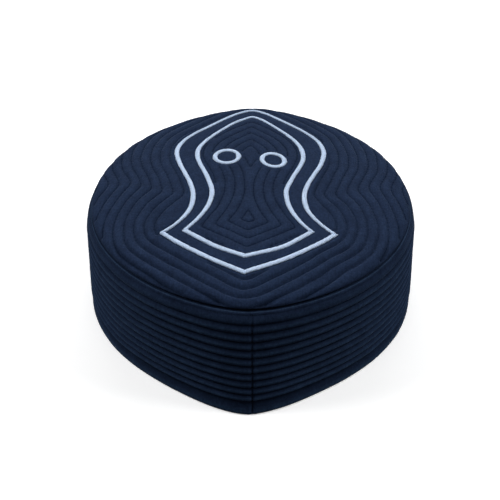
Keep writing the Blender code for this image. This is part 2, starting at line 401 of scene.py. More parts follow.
def leading_line_outside():
    """Round over the toe, sharp at the waist, and round about the flares and the heel."""
    left, right = down_left([OUTSIDE_WAIST]), up_right([OUTSIDE_WAIST])
    over_toe = right + up_right(OUTSIDE_SIDES) + [OUTSIDE_TOE] + down_left(OUTSIDE_SIDES) + left
    round_heel = left + down_left(OUTSIDE_FLARES) + [OUTSIDE_HEEL] + up_right(OUTSIDE_FLARES) + right
    return closed_line([smooth_line(over_toe), smooth_line(round_heel)])


def leading_line_inside():
    """Like the sandal's own line, but with a corner at its toe too."""
    left, right = down_left([INSIDE_CORNERS]), up_right([INSIDE_CORNERS])
    runs = (
        right + up_right(INSIDE_SIDES) + [INSIDE_TOE],
        [INSIDE_TOE] + down_left(INSIDE_SIDES) + left,
        left + down_left(INSIDE_HEEL_SIDES) + [INSIDE_HEEL],
        [INSIDE_HEEL] + up_right(INSIDE_HEEL_SIDES) + right,
    )
    return closed_line([smooth_line(run) for run in runs])


def closed_line(runs):
    return np.concatenate([run[:-1] for run in runs])


def ring_line(ring):
    """The oval line of a small ring, its first place repeated at its end."""
    angle = np.linspace(0, 2 * np.pi, 90)
    turn = math.radians(ring.turn_deg)
    across = ring.half_width * np.cos(angle)
    along = ring.half_length * np.sin(angle)
    x = ring.x + across * math.cos(turn) - along * math.sin(turn)
    y = ring.y + across * math.sin(turn) + along * math.cos(turn)
    return np.column_stack([x, y]) * MM


def distance_to(line, places):
    """Distance from each place to the nearest place of a line."""
    tree = KDTree(len(line))
    for i, (x, y) in enumerate(line):
        tree.insert((x, y, 0), i)
    tree.balance()
    return np.array([tree.find((x, y, 0))[2] for x, y in places])


def inside(line, places):
    """Whether each place is inside a closed line."""
    x, y = places.T
    within = np.zeros(len(places), bool)
    for (x0, y0), (x1, y1) in zip(line, np.roll(line, -1, axis=0)):
        if y0 == y1:
            continue
        crossing = (y0 > y) != (y1 > y)
        within ^= crossing & (x < x0 + (y - y0) * (x1 - x0) / (y1 - y0))
    return within


OUTER_RUNS = sandal_runs(OUTER_TOE, OUTER_SIDES, OUTER_FLARES, OUTER_HEEL_SIDES, OUTER_HEEL)
INNER_RUNS = sandal_runs(INNER_TOE, INNER_SIDES, INNER_FLARES, INNER_HEEL_SIDES, INNER_HEEL)
OUTER_LINE = closed_line(OUTER_RUNS)
INNER_LINE = closed_line(INNER_RUNS)
OUTSIDE_LINE = leading_line_outside()
INSIDE_LINE = leading_line_inside()
RING_LINES = {ring.name: ring_line(ring) for ring in RINGS}


def near_rings(places):
    """1 inside the small rings and at their satin, 0 away from them."""
    near = np.zeros(len(places))
    for line in RING_LINES.values():
        distance = distance_to(line, places)
        distance[inside(line[:-1], places)] = 0
        near = np.maximum(near, 1 - softly((distance - 2.2 * MM) / (1.6 * MM)))
    return near


def crown_quilting(places, stitched):
    """For each place of the crown: the rise of its wadding from 0 to 1, and the distance to the nearest
    stitch line."""
    to_line = distance_to(stitched, places)
    from_satin = distance_to(np.concatenate([OUTER_LINE, INNER_LINE, *RING_LINES.values()]), places)
    free = softly((from_satin - 1.3 * MM) / (1.6 * MM))
    return pillow(np.minimum(to_line / SPACING_OUTSIDE, 0.5)) * free, to_line


# Stitch lines of the crown


def beside(line, distance):
    """Places beside a closed line, all round its corners too. Its inside is on the left."""
    direction = np.roll(line, -1, axis=0) - line
    angle = np.arctan2(direction[:, 1], direction[:, 0]) - math.pi / 2
    before = np.roll(angle, 1)
    turn = (angle - before + np.pi) % (2 * np.pi) - np.pi
    places = []
    for (x, y), start, swing in zip(line, before, turn):
        pieces = 1 + int(abs(swing) / math.radians(4))
        for i in range(pieces):
            way = start + swing * (i + 0.5) / pieces
            places.append((x + distance * math.cos(way), y + distance * math.sin(way)))
    return np.array(places)


def from_edge(places):
    """How far inside the crown's edge each place is."""
    x, y = places.T
    return SEAM_RADIUS + reach(np.arctan2(y, x), SEAM_HEIGHT) - np.hypot(x, y)


def quilting_lines(line, distance, allowed):
    """The stretches of stitching that keep one distance from a closed line, where they are allowed."""
    places = beside(line, distance)
    kept = distance_to(line, places) > abs(distance) - 0.03 * MM
    kept &= allowed(places) & (from_edge(places) > CLEAR_OF_EDGE) & (near_rings(places) < 0.3)
    if not kept.any():
        return []
    places = places[kept]
    gaps = np.linalg.norm(places - np.roll(places, 1, axis=0), axis=1) > 2.5 * MM
    if not gaps.any():
        return [np.concatenate([places, places[:1]])]
    first = int(np.argmax(gaps))
    places = np.roll(places, -first, axis=0)
    starts = np.flatnonzero(np.roll(gaps, -first))
    return [run for run in np.split(places, starts[1:]) if len(run) > 3]


def outside_satin(places):
    return ~inside(OUTER_LINE, places) & (distance_to(OUTER_LINE, places) > CLEAR_OF_SATIN)


def inside_satin(places):
    return inside(INNER_LINE, places) & (distance_to(INNER_LINE, places) > CLEAR_OF_SATIN)


def eased(run, ease):
    """A run with its corners rounded, as cloth turned under a needle leaves them."""
    step = 0.4 * MM
    lengths = run_lengths(run)
    run = sample(run, lengths, np.linspace(0, lengths[-1], int(lengths[-1] / step) + 2))
    wide = min(int(ease / step), len(run) - 1)
    if wide < 1:
        return run
    if np.allclose(run[0], run[-1], atol=0.6 * MM):
        padded = np.concatenate([run[-wide - 1:-1], run, run[1:wide + 1]])
    else:
        padded = np.concatenate([2 * run[0] - run[wide:0:-1], run, 2 * run[-1] - run[-2:-wide - 2:-1]])
    weights = np.bartlett(2 * wide + 3)[1:-1]
    weights /= weights.sum()
    return np.column_stack([np.convolve(column, weights, "valid") for column in padded.T])


def hand_guided(run, number):
    """A run as it was really sewn: drifted up beside the sandal's waist and outwards in front of its heel,
    and wandering a little."""
    x, y = run.T
    beside_waist = softly((np.abs(x) - 40 * MM) / (34 * MM)) * np.exp(-((y / (26 * MM)) ** 2))
    place = np.column_stack([run, np.full(len(run), number * 9 * MM)])
    sideways = HAND_WANDER * unevenness(place, 9 * MM)
    upwards = HAND_WANDER * unevenness(place + 0.5, 9 * MM) + WAIST_DRIFT * beside_waist
    upwards -= FRONT_DRIFT * softly((-y - 66 * MM) / (16 * MM))
    return run + np.column_stack([sideways, upwards])


def crown_stitch_runs():
    """Every stretch of quilting on the crown, as places in its plan."""
    runs = []
    for step in range(-1, 9):
        for run in quilting_lines(OUTSIDE_LINE, step * SPACING_OUTSIDE, outside_satin):
            ease = CORNER_EASE_OUTSIDE * (1 + EASE_GROWTH * max(step, 0))
            runs.append(hand_guided(eased(run, ease), step))
    for step in range(-4, 3):
        for run in quilting_lines(INSIDE_LINE, step * SPACING_INSIDE, inside_satin):
            runs.append(hand_guided(eased(run, CORNER_EASE_INSIDE), step))
    return runs


def crown_stitches(runs):
    """Both ends of every stitch on the crown, in its plan."""
    stitches = []
    for run in runs:
        lengths = run_lengths(run)
        count = int(lengths[-1] / STITCH_PITCH)
        if count == 0:
            continue
        middle = (np.arange(count) + 0.5) * lengths[-1] / count
        middle += uneven.uniform(-0.12, 0.12, count) * MM
        half = STITCH_LENGTH / 2
        stitches.append([sample(run, lengths, at) for at in (middle - half, middle + half)])
    return [np.concatenate(ends) for ends in zip(*stitches)]


# Crown cloth


def allowance_radius(drop):
    """Outer radius of the crown's seam allowance, this far down inside the band."""
    return wall_radius(SEAM_HEIGHT - drop) - BAND_THICKNESS - GAP


def crown_section():
    """Radius and height of each ring of the crown's outside, from its middle, over its edge and down the
    seam allowance inside the band."""
    top = SEAM_HEIGHT
    lip = SEAM_RADIUS - 0.3 * MM
    dome = np.linspace(0, SEAM_RADIUS - EDGE_ROLL_WIDTH, CROWN_DOME_RINGS)
    roll = SEAM_RADIUS - EDGE_ROLL_WIDTH * (1 - np.sin(np.radians(np.linspace(5.5, 70, 15))))
    outside = np.concatenate([dome, roll])
    allowance = allowance_radius(ALLOWANCE_DROPS[0])
    under = [
        (lip - 0.12 * MM, top + 1.15 * MM),
        (lip - 0.45 * MM, top + 0.88 * MM),
        (lip - 0.95 * MM, top + 0.62 * MM),
        (lip - 1.5 * MM, top + GAP + 0.08 * MM),
        (lip - 1.9 * MM, top + GAP),
        (allowance, top + GAP),
        (allowance, top - 0.4 * MM),
    ]
    under += [(allowance_radius(drop), top - drop) for drop in ALLOWANCE_DROPS]
    return np.concatenate([np.column_stack([outside, crown_height(outside)]), under])


def lining_section():
    """Radius and height of each ring of the crown's underside, from its middle to the allowance's edge."""
    top = SEAM_HEIGHT
    dome = np.linspace(0, 80 * MM, LINING_DOME_RINGS)
    corner = [(SEAM_RADIUS - 6.6 * MM, top + 2.3 * MM), (SEAM_RADIUS - 5.2 * MM, top + 1.2 * MM)]
    for drop in (0, *ALLOWANCE_DROPS):
        inner = allowance_radius(drop) - ALLOWANCE_THICKNESS
        corner.append((min(inner, SEAM_RADIUS - 4.9 * MM), top - drop))
    return np.concatenate([np.column_stack([dome, crown_height(dome) - CROWN_THICKNESS]), corner])


def laid(radius, angle, z):
    """Places round the cap's axis, with its ends drawn out, as x, y and z from that axis."""
    out = radius + reach(angle, z) * np.minimum(1, radius / FULL_REACH_RADIUS)
    return np.column_stack([out * np.cos(angle), out * np.sin(angle), z])


def round_sheet(shape, section):
    """A sheet of cloth whose rings follow a section: its vertices, with the ring, angle and place of each.
    It is a square grid, and each square round its middle is a ring."""
    rings = len(section) - 1
    vertices = bmesh.ops.create_grid(shape, x_segments=2 * rings, y_segments=2 * rings, size=1)["verts"]
    across, along = np.array([vertex.co[:2] for vertex in vertices]).T
    wide = np.abs(across) >= np.abs(along)
    far = np.where(wide, across, along)
    near = np.where(wide, along, across)
    turn = np.pi / 4 * near / np.where(far == 0, 1, far)
    angle = np.where(wide, turn, np.pi / 2 - turn) + np.pi * (far < 0)
    ring = np.rint(np.abs(far) * rings).astype(int)
    return vertices, ring, angle, laid(section[ring, 0], angle, section[ring, 1])


def crown_fullness(plan):
    """How far the wadding swells at each place of the crown: least inside the sandal, most in front."""
    in_front = softly((-plan[:, 1] - 15 * MM) / (45 * MM))
    full = np.where(inside(OUTER_LINE, plan), 0.6, 0.95 + 0.8 * in_front)
    return full * (1 - 0.55 * (1 - in_front) * softly((9 * MM - from_edge(plan)) / (7 * MM)))


def make_crown_cloth(material, stitched, holes):
    shape = bmesh.new()
    relief_layer = shape.verts.layers.float.new("relief")

    section = crown_section()
    vertices, ring, angle, places = round_sheet(shape, section)
    plan = places[:, :2]
    rise, to_line = crown_quilting(plan, stitched)
    height = places[:, 2] - SEAM_HEIGHT
    above_seam = softly((height - 0.9 * MM) / (1.8 * MM))
    valley = np.exp(-((to_line / CROWN_VALLEY_WIDTH) ** 2))
    pull = np.exp(-((distance_to(holes, plan) / HOLE_WIDTH) ** 2))
    lift = crown_fullness(plan) * (CROWN_PUFF * (rise - CROWN_LEVEL) - CROWN_VALLEY * valley)
    lift -= HOLE_DEPTH * pull
    lift += CLOTH_DRIFT * unevenness(places, CLOTH_DRIFT_SIZE) + 0.06 * MM * unevenness(places, 4 * MM)
    lift += 0.05 * MM * unevenness(places, 1.9 * MM)
    lift *= above_seam
    along = unit(np.gradient(section, axis=0))[ring]
    outwards = lift * np.where(ring == 0, 0, -along[:, 1])
    places[:, 0] += outwards * np.cos(angle)
    places[:, 1] += outwards * np.sin(angle)
    places[:, 2] += lift * np.where(ring == 0, 1, along[:, 0]) - dent_depth(*plan.T) * above_seam
    # Painted shade: the cloth is darker down in its stitch lines and at the needle holes
    shade = 1 - np.maximum(0.75 * valley, 0.95 * pull) * above_seam
    # Painted shadow: darker low on the crown's roll, where it tucks in beside the band
    shade *= 0.2 + 0.8 * softly((height - 0.5 * MM) / (2.8 * MM))
    put(vertices, places, relief_layer, PLAIN_CLOTH * shade)

    section = lining_section()
    vertices, ring, angle, places = round_sheet(shape, section)
    plan = places[:, :2]
    rise, to_line = crown_quilting(plan, stitched)
    under_dome = softly((78 * MM - section[ring, 0]) / (4 * MM))
    places[:, 2] -= (CROWN_PUFF * 0.8 * (rise - 0.5) + dent_depth(*plan.T)) * under_dome
    # Painted shade on the underside, darker down in the stitch lines
    valley = np.exp(-((to_line / LINING_VALLEY_WIDTH) ** 2))
    put(vertices, places, relief_layer, PLAIN_CLOTH * (1 - valley * under_dome))
    bmesh.ops.reverse_faces(shape, faces=list({face for vertex in vertices for face in vertex.link_faces}))

    bmesh.ops.bridge_loops(shape, edges=[edge for edge in shape.edges if edge.is_boundary])
    cloth = add_piece("crown_cloth", shape, material)
    set_uv(cloth.data, coordinates(cloth.data)[:, :2])
    return cloth


# Band cloth

Row = namedtuple("Row", "radius z relief")


def band_rows():
    """Rows of the band's closed section: over its folded top edge, down its ribbed outside, under the rim
    and up its inside. Each has its radius and height, and how far up it is between two stitch lines."""
    top = SEAM_HEIGHT
    lines = stitch_heights()
    rows = []
    for turn in np.radians((0, 18, 36, 54, 72)):
        radius = SEAM_RADIUS - FOLD_INWARDS + (FOLD_INWARDS + FOLD_OUTWARDS) * math.sin(turn)
        rows.append(Row(radius, top - TOP_FOLD * (1 - math.cos(turn)), 0.5))
    edge_line = top - EDGE_STITCH_DROP
    for share in (0, 0.35, 0.7, 1):
        z = top - TOP_FOLD + (edge_line - top + TOP_FOLD) * share
        rows.append(outer_row(z, 0.62 - 0.14 * share))
    for upper, lower in zip([edge_line, *lines], lines):
        tall = upper == edge_line
        for share in (0.06, 0.15, 0.3, 0.5, 0.7, 0.85, 0.94, 1):
            rise = 0.48 + 0.3 * softly(4 * share) if tall and share < 0.6 else pillow(share, RIB_ROUNDNESS)
            rows.append(outer_row(upper + (lower - upper) * share, min(rise, 0.8) if tall else rise))
    for share in (0.07, 0.16, 0.3, 0.45, 0.6, 0.75, 0.88, 1):
        z = lines[-1] + (HEM_EDGE - lines[-1]) * share
        swell = pillow(share * 0.55, RIB_ROUNDNESS)
        # The hem's painted shade and highlight follow its full swell, though it stands out less
        rows.append(outer_row(z, 0.7 * swell)._replace(relief=swell))
    for turn in np.radians((22, 45, 67, 90)):
        radius = RIM_RADIUS - HEM_EDGE * (1 - math.cos(turn))
        rows.append(Row(radius, HEM_EDGE * (1 - math.sin(turn)), 0.6))
    for turn in np.radians((0, 30, 60)):
        radius = RIM_RADIUS - BAND_THICKNESS + HEM_EDGE * (1 - math.sin(turn))
        rows.append(Row(radius, HEM_EDGE * (1 - math.cos(turn)), 0.6))
    inner_marks = [HEM_EDGE, *reversed(lines)]
    for lower, upper in zip(inner_marks, inner_marks[1:]):
        for share in (0, 0.2, 0.5, 0.8):
            rows.append(inner_row(lower + (upper - lower) * share, pillow(share)))
    for drop in (TOP_STRIP, 5 * MM, 3 * MM, 1.5 * MM, 0.5 * MM):
        rows.append(inner_row(top - drop, 0))
    return rows


def outer_row(z, rise):
    relief = BAND_PUFF * (rise - 0.5) - BAND_VALLEY * math.exp(-((rise / 0.45) ** 2))
    return Row(float(wall_radius(z)) + relief, z, rise)


def inner_row(z, rise):
    return Row(float(wall_radius(z)) - BAND_THICKNESS - INNER_SWELL * rise, z, rise)


def make_band_cloth(material):
    rows = band_rows()
    shape = bmesh.new()
    row_layer = shape.verts.layers.float.new("row")
    profile = []
    for i, row in enumerate(rows):
        vertex = shape.verts.new((0, -row.radius, row.z))
        vertex[row_layer] = i
        profile.append(vertex)
    loop = [shape.edges.new((start, end)) for start, end in zip(profile, [*profile[1:], profile[0]])]
    full_turn = {"cent": (0, 0, 0), "axis": (0, 0, 1), "angle": 2 * math.pi, "use_merge": True}
    bmesh.ops.spin(shape, geom=[*profile, *loop], steps=BAND_COLUMNS, **full_turn)
    bmesh.ops.recalc_face_normals(shape, faces=shape.faces)
    relief_layer = shape.verts.layers.float.new("relief")
    vertices = list(shape.verts)
    turned = np.array([vertex.co for vertex in vertices])
    row = np.rint([vertex[row_layer] for vertex in vertices]).astype(int)
    radius, z, relief = np.array(rows)[row].T

    # More columns stand close to the seam than elsewhere
    from_seam = (np.arctan2(turned[:, 1], turned[:, 0]) - SEAM_END + np.pi) % (2 * np.pi) - np.pi
    from_seam *= 1 - 0.72 * np.exp(-((from_seam / 0.08) ** 2))
    angle = from_seam + SEAM_LINE

    outside = radius > wall_radius(z) - BAND_THICKNESS / 2
    beside_seam = np.abs(from_seam) * RIM_RADIUS
    flat = laid(radius, angle, z)
    groove = np.exp(-((beside_seam / SEAM_GROOVE_WIDTH) ** 2))
    ridge = np.exp(-(((beside_seam - SEAM_RIDGE_AT) / SEAM_RIDGE_WIDTH) ** 2))
    below_top = softly((SEAM_HEIGHT - z) / (2 * MM))
    lift = 0.22 * MM * unevenness(flat, 21 * MM) + 0.07 * MM * unevenness(flat, 5 * MM) * relief
    lift *= softly(z / (1.2 * MM)) * below_top
    below_strip = softly((SEAM_HEIGHT - TOP_STRIP + 1 * MM - z) / (2 * MM))
    lift += SEAM_RIDGE_HEIGHT * ridge * outside * below_top
    groove *= outside * softly((z - 0.4 * MM) / (2.5 * MM))
    lift -= SEAM_GROOVE_DEPTH * groove * (below_strip + 0.4 * below_top * (1 - below_strip))
    places = laid(radius + lift, angle, z)
    # Painted shade and highlight on the outside: darker down in the stitch lines and in the seam's groove,
    # paler on the ribs' crests
    shade = np.where(outside, relief, 0.5) ** 1.3
    shade = PLAIN_CLOTH * np.minimum(shade, 1 - 0.9 * groove * below_strip)

    # A painted highlight on one row of the fold's top, and painted shadow on the rows tucked in under the
    # crown's edge
    shade[outside & (np.abs(SEAM_HEIGHT - 0.4 * MM - z) < 0.1 * MM)] = 1
    shade[outside & (z > SEAM_HEIGHT - 0.25 * MM)] = 0.1
    put(vertices, places, relief_layer, shade)
    cloth = add_piece("band_cloth", shape, material)
    places = coordinates(cloth.data)
    around = (np.arctan2(places[:, 1] - AXIS_Y, places[:, 0]) - SEAM_LINE) % (2 * np.pi)
    set_uv(cloth.data, np.column_stack([around * RIM_RADIUS, places[:, 2]]), wrap=2 * np.pi * RIM_RADIUS)
    return cloth


# Threads


def lay_threads(name, centres, sides, ups, widths, heights, corners, material):
    """A row of threads in one mesh. Thread i passes through centres[i], and its section at each of those
    places is an oval with corners, as wide and high as widths and heights give there."""
    count, stations = centres.shape[:2]
    shape = bmesh.new()
    bmesh.ops.create_cone(shape, cap_ends=True, segments=corners, radius1=1, radius2=1, depth=stations - 1)
    lengthwise = [edge for edge in shape.edges if edge.calc_length() > 0.99 * (stations - 1)]
    if stations > 2:
        bmesh.ops.subdivide_edges(shape, edges=lengthwise, cuts=stations - 2)
    one = add_piece(name + "_one", shape, material)
    row = one.modifiers.new("row", "ARRAY")
    row.count = count
    row.use_relative_offset = False
    row.use_constant_offset = True
    row.constant_offset_displace = (3, 0, 0)
    template = coordinates(one.data)
    mesh = bpy.data.meshes.new_from_object(one.evaluated_get(bpy.context.evaluated_depsgraph_get()))
    bpy.data.objects.remove(one)

    station = np.rint(template[:, 2] + (stations - 1) / 2).astype(int)
    turn = np.arctan2(template[:, 1] - AXIS_Y, template[:, 0])
    across = np.cos(turn)[None, :, None] * (widths / 2)[station][None, :, None]
    upward = np.sin(turn)[None, :, None] * (heights / 2)[station][None, :, None]
    places = centres[:, station] + across * sides[:, None] + upward * ups[:, None]
    places[:, :, 1] += AXIS_Y
    mesh.vertices.foreach_set("co", places.reshape(-1))
    mesh.update()
    mesh.name = name
    mesh.shade_smooth()
    around = (turn - math.pi / 2) / (2 * np.pi) % 1
    start = uneven.uniform(0, 1, count)[:, None]
    length = np.linalg.norm(centres[:, -1] - centres[:, 0], axis=1)[:, None] / MM
    along = start + length * (station / (stations - 1))
    uv = np.stack([np.broadcast_to(around, along.shape), along], axis=-1).reshape(-1, 2)
    set_uv(mesh, uv)
    return add_object(name, mesh)


def lay_stitches(name, starts, ends, ups, material):
    """Running stitches between both ends of each, whose ends go down into the cloth."""
    middle = (starts + ends) / 2
    shoulder = STITCH_RISE * 0.75
    stations = [
        starts - ups * STITCH_TUCK,
        starts + (middle - starts) * 0.35 + ups * shoulder,
        ends + (middle - ends) * 0.35 + ups * shoulder,
        ends - ups * STITCH_TUCK,
    ]
    centres = np.stack(stations, axis=1)
    sides = unit(np.cross(ends - starts, ups))
    thickness = STITCH_THICKNESS * np.array([0.55, 1, 1, 0.55])
    return lay_threads(name, centres, sides, ups, thickness, thickness, 5, material)


def make_crown_stitches(starts, ends, material):
    middle = (starts + ends) / 2
    ups = crown_normals(*middle.T)
    lows = []
    for plan in (starts, ends):
        place = np.column_stack([plan, crown_surface(*plan.T)])
        drop = crown_fullness(plan) * (CROWN_PUFF * CROWN_LEVEL + CROWN_VALLEY)
        drop -= CLOTH_DRIFT * unevenness(place, CLOTH_DRIFT_SIZE)
        lows.append(place - ups * drop[:, None])
    return lay_stitches("crown_stitches", *lows, ups, material)


def make_band_stitches(material):
    clear = 1.9 * MM / RIM_RADIUS
    around = 2 * np.pi - 2 * clear
    count = int(around * RIM_RADIUS / STITCH_PITCH)
    half = STITCH_LENGTH / 2 / RIM_RADIUS
    stitches = []
    for z in (SEAM_HEIGHT - EDGE_STITCH_DROP, *stitch_heights()):
        middle = SEAM_LINE + clear + (np.arange(count) + 0.5) / count * around
        middle += uneven.uniform(-0.1, 0.1, count) * MM / RIM_RADIUS
        low = float(wall_radius(z)) - BAND_PUFF * 0.5 - BAND_VALLEY * 0.75
        stitches.append([laid(low, at, np.full(count, z)) for at in (middle - half, middle + half)])
    starts, ends = (np.concatenate(places) for places in zip(*stitches))
    ups = unit(np.cross(ends - starts, (0, 0, 1)))
    return lay_stitches("band_stitches", starts, ends, ups, material)


def satin_run(run, half_width, start_turn=0, end_turn=0, narrowest=1):
    """Both ends of each satin thread across one run of a line, in plan. Where the run ends at a corner,
    its threads reach the mitre line there."""
    start_slope = math.tan(start_turn / 2)
    end_slope = math.tan(end_turn / 2)
    before = half_width * narrowest * start_slope
    after = half_width * narrowest * end_slope
    if before:
        run = np.concatenate([run[:1] + unit(run[:1] - run[1:2]) * before, run])
    if after:
        run = np.concatenate([run, run[-1:] + unit(run[-1:] - run[-2:-1]) * after])
    lengths = run_lengths(run)
    at = np.arange(SATIN_PITCH / 2, lengths[-1], SATIN_PITCH)
    middle = sample(run, lengths, at)
    step = 0.8 * MM
    direction = unit(sample(run, lengths, at + step) - sample(run, lengths, at - step))
    outward = np.column_stack([direction[:, 1], -direction[:, 0]])
    wide = half_width * np.maximum(narrowest, direction[:, 1] ** 2)
    wide *= 1 + 0.07 * unevenness(np.column_stack([middle, wide]), 2.5 * MM)
    low = -wide
    if before:
        low = np.maximum(low, -(at - before) / start_slope)
    if after:
        low = np.maximum(low, -(lengths[-1] - after - at) / end_slope)
    low += uneven.uniform(-0.12, 0.16, len(at)) * MM
    high = wide + uneven.uniform(-0.16, 0.12, len(at)) * MM
    slant = direction * 0.12 * MM
    long_enough = high - low > 0.5 * MM
    inner = (middle + outward * low[:, None] - slant)[long_enough]
    outer = (middle + outward * high[:, None] + slant)[long_enough]
    return inner, outer


def make_satin(name, runs, material):
    """Threads side by side across a line, raised in the middle and tucked into the cloth at both ends."""
    inner, outer = (np.concatenate(ends) for ends in zip(*runs))
    shares = np.array([0, 0.10, 0.5, 0.90, 1])
    lifts = np.array([-0.45, 0.62, 1, 0.62, -0.45]) * (SATIN_HEIGHT - SATIN_SUNK)
    plan = inner[:, None] + (outer - inner)[:, None] * shares[None, :, None]
    base = crown_surface(plan[..., 0], plan[..., 1])
    fullness = 1 + uneven.uniform(-0.06, 0.06, len(inner))[:, None]
    centres = np.concatenate([plan, (base + lifts * fullness)[..., None]], axis=-1)
    ups = crown_normals(plan[:, 2, 0], plan[:, 2, 1])
    sides = unit(np.cross(centres[:, -1] - centres[:, 0], ups))
    widths = SATIN_THREAD_WIDTH * np.array([0.6, 1, 1, 1, 0.6])
    heights = SATIN_THREAD_HEIGHT * np.array([0.8, 1, 1, 1, 0.8])
    return lay_threads(name, centres, sides, ups, widths, heights, 6, material)


def corner_turn(before, after):
    """How far the line turns between the end of one run and the start of the next."""
    into = before[-1] - before[-2]
    out = after[1] - after[0]
    turn = math.atan2(out[1], out[0]) - math.atan2(into[1], into[0])
    return abs((turn + math.pi) % (2 * math.pi) - math.pi)


def make_outline(name, runs, material):
    over_toe, left_of_heel, right_of_heel = runs
    at_left = corner_turn(over_toe, left_of_heel)
    at_heel = corner_turn(left_of_heel, right_of_heel)
    at_right = corner_turn(right_of_heel, over_toe)
    threads = [
        satin_run(over_toe, HALF_WIDTH_OVER_TOE, at_right, at_left, NARROWEST_OVER_TOE),
        satin_run(left_of_heel, HALF_WIDTH_AT_HEEL, at_left, at_heel),
        satin_run(right_of_heel, HALF_WIDTH_AT_HEEL, at_heel, at_right),
    ]
    return make_satin(name, threads, material)


# Meshes


def put(vertices, places, layer, values):
    """Move vertices to places measured from the cap's axis, and keep a value on each."""
    for vertex, place, value in zip(vertices, places.tolist(), values.tolist()):
        vertex.co = (place[0], place[1], place[2])
        vertex[layer] = value


def add_object(name, data):
    made = bpy.data.objects.new(name, data)
    bpy.context.scene.collection.objects.link(made)
    return made


def add_mesh(name, shape, material):
    mesh = bpy.data.meshes.new(name)
    shape.to_mesh(mesh)
    shape.free()
    mesh.materials.append(material)
    return add_object(name, mesh)


def add_piece(name, shape, material):
    """An object at the origin for a shape that was built round the cap's axis."""
    bmesh.ops.translate(shape, verts=shape.verts, vec=(0, AXIS_Y, 0))
    piece = add_mesh(name, shape, material)
    piece.data.shade_smooth()
    return piece


def coordinates(mesh):
    places = np.empty(len(mesh.vertices) * 3)
    mesh.vertices.foreach_get("co", places)
    return places.reshape(-1, 3)


def set_uv(mesh, of_vertices, wrap=None):
    """Give the mesh a UV map from a value for each vertex. Across the place where the values start again,
    wrap is added to the low ones."""
    corner = np.empty(len(mesh.loops), int)
    mesh.loops.foreach_get("vertex_index", corner)
    uv = of_vertices[corner]
    if wrap:
        quads = uv[:, 0].reshape(-1, 4)
        crossing = np.ptp(quads, axis=1) > wrap / 2
        quads[crossing] += wrap * (quads[crossing] < wrap / 2)
        uv[:, 0] = quads.reshape(-1)
    mesh.uv_layers.new(name="cloth").data.foreach_set("uv", uv.reshape(-1))


# Materials


def feed(tree, made, inputs):
    """Give a node's inputs plain values, or link other nodes' outputs to them."""
    for name, value in inputs.items():
        if isinstance(value, bpy.types.NodeSocket):
            tree.links.new(value, made.inputs[name])
        else:
            made.inputs[name].default_value = value


def node(tree, kind, inputs=None, **settings):
    made = tree.nodes.new(kind)
    for name, value in settings.items():
        setattr(made, name, value)
    feed(tree, made, inputs or {})
    return made


def maths(tree, operation, *values):
    return node(tree, "ShaderNodeMath", dict(enumerate(values)), operation=operation).outputs[0]


def noise_pattern(tree, position, scale, detail=2, roughness=0.5):
    inputs = {"Vector": position, "Scale": scale, "Detail": detail, "Roughness": roughness}
    return node(tree, "ShaderNodeTexNoise", inputs).outputs[0]


def bumped(tree, height, strength, distance, under=None):
    """A normal with this height in relief, on top of the relief of another normal where one is given."""
    inputs = {"Height": height, "Strength": strength, "Distance": distance}
    if under:
        inputs["Normal"] = under
    return node(tree, "ShaderNodeBump", inputs).outputs[0]


def deep_to_high(tree, height, deep, high):
    """A value that goes from one number down between the threads to another on top of them."""
    inputs = {"Value": height, "To Min": deep, "To Max": high}
    return node(tree, "ShaderNodeMapRange", inputs).outputs[0]


def mixed(tree, blend, factor, first, second):
    inputs = {"Factor": factor, "A": first, "B": second}
    return node(tree, "ShaderNodeMix", inputs, data_type="RGBA", blend_type=blend).outputs["Result"]


def ramp(tree, value, stops):
    """Colours from a ramp with a stop for each (position, colour)."""
    made = node(tree, "ShaderNodeValToRGB", {0: value})
    elements = made.color_ramp.elements
    while len(elements) < len(stops):
        elements.new(0.5)
    for element, (position, colour) in zip(elements, stops):
        element.position = position
        element.color = (*colour, 1)
    return made.outputs[0]


def varied(tree, colour, pattern, dark, pale, share=1.0):
    """A colour made darker and paler by a pattern. Dark and pale are the two stops of its ramp."""
    return mixed(tree, "MULTIPLY", share, colour, ramp(tree, pattern, (dark, pale)))


def new_group(name, number, results):
    """A node group that takes a position and one number, with its input and output nodes."""
    group = bpy.data.node_groups.new(name, "ShaderNodeTree")
    group.interface.new_socket("Position", in_out="INPUT", socket_type="NodeSocketVector")
    group.interface.new_socket(number, in_out="INPUT", socket_type="NodeSocketFloat")
    for result in results:
        group.interface.new_socket(result, in_out="OUTPUT", socket_type="NodeSocketFloat")
    return group, node(group, "NodeGroupInput"), node(group, "NodeGroupOutput")


def plain_weave_group():
    """Over-and-under threads of a plain weave on a flat position in metres."""
    group, given, result = new_group("plain_weave", "Thread Spacing", ("Height", "Slub"))
    position = given.outputs["Position"]
    split = node(group, "ShaderNodeSeparateXYZ", {0: position})

    # A little wander keeps the threads from looking ruled
    wander = maths(group, "MULTIPLY", noise_pattern(group, position, 260), 0.8)
    waves = []
    for axis in ("X", "Y"):
        threads = maths(group, "DIVIDE", split.outputs[axis], given.outputs["Thread Spacing"])
        shifted = maths(group, "ADD", threads, wander)
        waves.append(maths(group, "SINE", maths(group, "MULTIPLY", shifted, math.pi)))
    across, along = waves
    warp_on_top = maths(group, "GREATER_THAN", maths(group, "MULTIPLY", across, along), 0)
    high_across = maths(group, "ABSOLUTE", across)
    high_along = maths(group, "ABSOLUTE", along)
    warp = maths(group, "MULTIPLY", high_across, maths(group, "POWER", high_along, 0.4))
    weft = maths(group, "MULTIPLY", high_along, maths(group, "POWER", high_across, 0.4))
    on_top = {"Factor": warp_on_top, "A": weft, "B": warp}
    height = node(group, "ShaderNodeMix", on_top, data_type="FLOAT").outputs[0]

    # Thick and thin places of the yarn
    stretched = node(group, "ShaderNodeMapping", {"Vector": position, "Scale": (1500, 160, 1)})
    slub = noise_pattern(group, stretched.outputs[0], 1)
    feed(group, result, {"Height": height, "Slub": slub})
    return group


